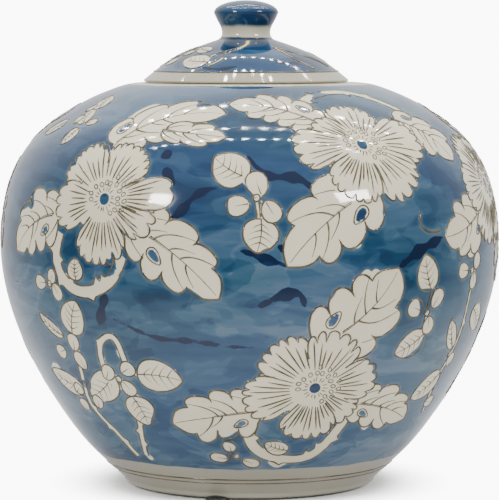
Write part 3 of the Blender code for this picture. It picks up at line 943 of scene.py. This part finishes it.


# ---------------------------------------------------------------------------------------------
# The glaze on the jar: cobalt wash in brushed layers round the bare shapes, paler towards the foot as painted
# light, ivory porcelain inside them and round the seat, the foot's ivory darker as painted shade, two brown
# rings above the foot, all under one clear glossy glaze.
def glaze_of(name, low_edge, high_edge, bare_band=None, dark_band=None):
    """The painted glaze: blue between two heights, with a band left bare and a band washed twice."""
    material, shader, nodes = start_finish(name)
    where = nodes.add("ShaderNodeTexCoord", output="Object")
    height = nodes.add("ShaderNodeSeparateXYZ", {}, {"Vector": where}, 2)

    def noise(scale, stretch, detail, shift, warp=0.0):
        place = nodes.add("ShaderNodeMapping", {}, {"Vector": where, "Scale": (1.0, 1.0, stretch),
                                                    "Location": (shift, shift * 0.7, shift * 1.3)})
        return nodes.add("ShaderNodeTexNoise", {}, {"Vector": place, "Scale": scale, "Detail": detail,
                                                    "Roughness": 0.55, "Distortion": warp})

    bare = nodes.add("ShaderNodeAttribute", {"attribute_name": "bare"}, output="Fac")
    cobalt = nodes.add("ShaderNodeAttribute", {"attribute_name": "cobalt"}, output="Fac")
    wobble = noise(210.0, 1.0, 2.0, 0.4) - 0.5
    slow = noise(60.0, 1.0, 2.0, 0.9) - 0.5
    spill = noise(34.0, 1.0, 1.0, 5.0)
    edge = (bare + wobble * 1.1 + 3.0 * spill.ramp(0.60, 0.74)
            - 3.4 * (1.0 - spill.ramp(0.27, 0.36)) * bare.ramp(-4.5, 1.0))
    first = noise(11.0, 2.0, 3.0, 0.1, 0.6)
    layer_one = first.ramp(0.47, 0.50)
    pooled = first.ramp(0.452, 0.468) - first.ramp(0.472, 0.488)
    layer_two = noise(19.0, 2.4, 3.0, 0.6, 0.8).ramp(0.53, 0.555)
    layer_three = noise(30.0, 2.0, 2.0, 1.1, 0.5).ramp(0.57, 0.60)
    brushed = noise(26.0, 5.0, 5.0, 0.2, 0.3) - 0.5
    cloud = noise(9.0, 1.4, 2.0, 1.7) - 0.5
    depth = 0.43 + 0.17 * layer_one + 0.11 * layer_two - 0.07 * layer_three + 0.36 * brushed + 0.30 * cloud
    depth = depth + 0.09 * pooled
    # The wash is deeper towards the shoulder and paler towards the foot; the paler lower wash is painted
    # light, standing in for light thrown up from the floor.
    depth = depth + 0.09 * height.ramp(0.10, 0.19) - 0.06 * (1.0 - height.ramp(0.03, 0.13))
    pale = edge.ramp(0.2, 2.6)
    depth = depth * (0.70 + 0.30 * pale)
    stroke = 1.0 - (cobalt + 1.6 * wobble).ramp(-0.25, 0.35)
    depth = depth + 0.78 * stroke * (0.75 + 0.5 * brushed)
    if dark_band:
        depth = depth + 0.24 * ((height + slow * 0.0016).ramp(dark_band[0] - 0.0002, dark_band[0] + 0.0002)
                                * (1.0 - height.ramp(dark_band[1], dark_band[1] + 0.003)))
    blue = nodes.add("ShaderNodeValToRGB", {"stops": [
        (0.0, (0.26, 0.29, 0.31)), (0.24, (0.108, 0.152, 0.210)), (0.48, (0.034, 0.080, 0.140)),
        (0.70, (0.008, 0.036, 0.090)), (1.0, (0.0014, 0.009, 0.034))]}, {"Fac": depth})
    teal = nodes.add("ShaderNodeValToRGB", {"stops": [
        (0.0, (0.25, 0.30, 0.31)), (0.24, (0.094, 0.150, 0.185)), (0.48, (0.022, 0.076, 0.112)),
        (0.70, (0.004, 0.034, 0.064)), (1.0, (0.0010, 0.008, 0.028))]}, {"Fac": depth})
    blue = (0.55 * noise(8.0, 1.6, 2.0, 4.0, 0.5).ramp(0.43, 0.60)).mix(blue, teal)
    low = height + 0.004 * (noise(24.0, 1.0, 3.0, 2.0) - 0.5) + 0.0015 * slow
    low = low.ramp(low_edge - 0.0004, low_edge + 0.0004)
    high = 1.0 - (height + 0.0012 * slow).ramp(high_edge - 0.0003, high_edge + 0.0003)
    wash = edge.ramp(-0.15, 0.25) * low * high
    if bare_band:
        wash = wash * (1.0 - 0.76 * (height + slow * 0.002).ramp(bare_band[0] - 0.0008, bare_band[0] + 0.0004)
                       * (1.0 - (height + slow * 0.003).ramp(bare_band[1] - 0.0006, bare_band[1] + 0.0022)))
    ivory = (0.5 + 1.4 * cloud).mix((0.57, 0.515, 0.375), (0.67, 0.62, 0.465))
    # Below the wash the ivory is painted darker: painted shade on the jar's foot, and the same darker ivory
    # falls on the lid's bare rim band.
    ivory = low.mix((0.31, 0.29, 0.225), ivory)
    colour = wash.mix(ivory, blue)
    waves = noise(38.0, 1.0, 2.0, 3.0)
    bump = nodes.add("ShaderNodeBump", {}, {"Height": waves, "Strength": 0.35, "Distance": 0.0006})
    give(shader, Base_Color=colour, Roughness=0.06 + 0.04 * layer_two, Normal=bump)
    return material


WASH_FROM = 0.0200
WASH_TO = 0.2341
glaze = glaze_of("painted_glaze", FOOT_HEIGHT + WASH_FROM, FOOT_HEIGHT + WASH_TO)
jar.data.materials.append(glaze)
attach(jar, "jar")
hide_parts("jar_body")

# ---------------------------------------------------------------------------------------------
# The lid: a thrown dome with a hollow button knob, and under it a plain flange that drops into the
# mouth and keeps it in place. It lies loose on the jar's seat.
lid_low, lid_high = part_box("lid")
lid_middle = (lid_low + lid_high) / 2
FLANGE_DEPTH = 0.012
lid_seat = lid_low.z + FLANGE_DEPTH
KNOB_TOP = lid_high.z - lid_seat
RIM_RADIUS = (lid_high.x - lid_low.x) / 2
RIM_ROUND = 0.0012
LID_WALL = 0.005
FLANGE_RADIUS = 0.047
FLANGE_WALL = 0.004
FLANGE_ROUND = 0.0006
DOME_TOP = (0.0185, 0.0240)
DOME_SHOULDER = (0.0425, 0.0141)
KNOB_NECK = (0.0142, 0.0285)
KNOB_WIDEST = (0.0190, 0.0403)
KNOB_HOLLOW = (0.0075, 0.0400)
LID_TURNS = 320
LID_WASH_FROM = 0.0064
DARK_FROM = 0.0188
NECK_FROM = 0.0262
NECK_TO = 0.0318

rise = KNOB_TOP - KNOB_WIDEST[1]
head = [(KNOB_WIDEST[0] * math.sin(t), KNOB_WIDEST[1] + rise * math.cos(t))
        for t in np.radians(np.linspace(0, 90, 15))]
waist = smooth_curve([KNOB_WIDEST, (0.01684, 0.03558), KNOB_NECK, (0.01528, 0.02558), DOME_TOP], 24)[1:]
dome = smooth_curve([DOME_TOP, DOME_SHOULDER, (RIM_RADIUS, RIM_ROUND)], 48)
ceiling = (dome - LID_WALL * directions(dome)[1])[::-4]
flange_inside = FLANGE_RADIUS - FLANGE_WALL
ceiling = ceiling[(ceiling[:, 0] > KNOB_HOLLOW[0]) & (ceiling[:, 0] < flange_inside)]
lid_outline = np.concatenate([
    head, waist, dome[1:], arc((RIM_RADIUS - RIM_ROUND, RIM_ROUND), RIM_ROUND, 0, -90, 6)[1:],
    [(FLANGE_RADIUS, 0.0), (FLANGE_RADIUS, FLANGE_ROUND - FLANGE_DEPTH),
     (FLANGE_RADIUS - FLANGE_ROUND, -FLANGE_DEPTH),
     (flange_inside + FLANGE_ROUND, -FLANGE_DEPTH), (flange_inside, FLANGE_ROUND - FLANGE_DEPTH),
     (flange_inside, ceiling[0][1])],
    ceiling, [(KNOB_HOLLOW[0], ceiling[-1][1] + 0.0019), KNOB_HOLLOW, (0.0, KNOB_HOLLOW[1])]])
lid_outline[0] = (0.0, KNOB_TOP)
lid = turned("lid_porcelain", lid_outline, LID_TURNS, lid_seat, lid_middle.x)
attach(lid, "lid")
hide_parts("lid")

# The drawing on the dome: a garland of small leaves and buds round the knob, and the brown line
# where the wash ends above the rim. Azimuths and heights are counted on the lid itself.
LID_BRANCHES = [
    ((-8, 17), [(4, 24.5), (-2, 21), (-14, 18.5), (-24, 17), (-34, 13)], 2.8, 2.0),
    ((-22, 12), [(-17, 18), (-20, 13), (-26, 10)], 2.4, 1.8),
    ((-100, 15), [(-84, 19), (-100, 12)], 1.6, 1.4),
    ((50, 14), [(33, 20), (38, 16), (44, 12), (50, 8)], 2.0, 1.5),
    ((58, 15), [(34, 20.5), (50, 17), (62, 14), (72, 9)], 2.0, 1.5),
    ((140, 15), [(125, 22), (140, 15), (155, 10)], 2.4, 1.6),
    ((215, 15), [(205, 21), (215, 13), (228, 9)], 2.2, 1.6)]
LID_LEAVES = [
    ((-42, 15), (-28, 12), (-54, 13), 13), ((-50, 20), (-38, 18), (-62, 20), 8.5),
    ((-84, 13), (-74, 16), (-98, 9), 10), ((150, 13), (148, 14), (172, 9), 10),
    ((222, 13), (222, 15), (240, 8), 10), ((100, 13), (92, 17), (104, 8), 9)]
LID_BUDS = [
    ((-64, 17), 9, 7, 40), ((-70, 12), 11, 7.5, 20), ((-76, 19), 8, 6, 80), ((-104, 15), 8, 6, 0),
    ((118, 17), 9, 6, 120), ((128, 12), 8, 6, 60), ((196, 16), 9, 6, 40), ((205, 11), 8, 6, 100)]
LID_COBALT = [((-20, 9), [(-30, 9), (-18, 8), (-6, 9.5)], 2.6),
              ((30, 12), [(20, 13), (32, 11), (42, 12)], 3.0),
              ((88, 11), [(80, 12), (92, 9)], 3.0), ((178, 16), [(170, 18), (184, 15)], 3.4)]
lid_ground = Ground(lid, "lid", "painted_lid_porcelain", dome, lid_seat, lid_middle.x)
for place, way, start, end in LID_BRANCHES:
    paper = Stencil(lid_ground, "drawing_lid_branches", *place)
    branch(paper, [paper.flat(*spot) for spot in way], start, end)
for place, base, tip, width in LID_LEAVES:
    paper = Stencil(lid_ground, "drawing_lid_leaves", *place)
    leaflet(paper, paper.flat(*base), paper.flat(*tip), width)
for place, length, width, angle in LID_BUDS:
    bud(Stencil(lid_ground, "drawing_lid_buds", *place), (0.0, 0.0), length, width, angle)
for place, way, width in LID_COBALT:
    paper = Stencil(lid_ground, "", *place)
    cobalt_stroke(paper, [paper.flat(*spot) for spot in way], width)
lid_ground.trace()
measure(lid_ground, "bare", lid_ground.shapes)
measure(lid_ground, "cobalt", lid_ground.strokes)
ring_line(lid_ground, "lid_line", 6.1, 0.55)
lid.data.materials.append(glaze_of("painted_lid_glaze", lid_seat + LID_WASH_FROM, 1.0,
                                   (lid_seat + NECK_FROM, lid_seat + NECK_TO),
                                   (lid_seat + DARK_FROM, lid_seat + NECK_FROM)))

# ---------------------------------------------------------------------------------------------
# The bumper pads: three black domes of soft rubber stuck under the edge of the foot, so that the
# jar doesn't scratch what it stands on.
rubber, shader, nodes = start_finish("soft_black_rubber")
where = nodes.add("ShaderNodeTexCoord", output="Object")
grain = nodes.add("ShaderNodeTexNoise", {}, {"Vector": where, "Scale": 900.0, "Detail": 3.0})
give(shader, Base_Color=grain.mix((0.008, 0.008, 0.009), (0.022, 0.021, 0.021)), Roughness=grain * 0.2 + 0.25,
     Normal=nodes.add("ShaderNodeBump", {}, {"Height": grain, "Strength": 0.2, "Distance": 0.0002}))
for side in ("front", "right", "back"):
    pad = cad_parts[f"foot_pad_{side}"]
    pad.data.materials.clear()
    pad.data.materials.append(rubber)
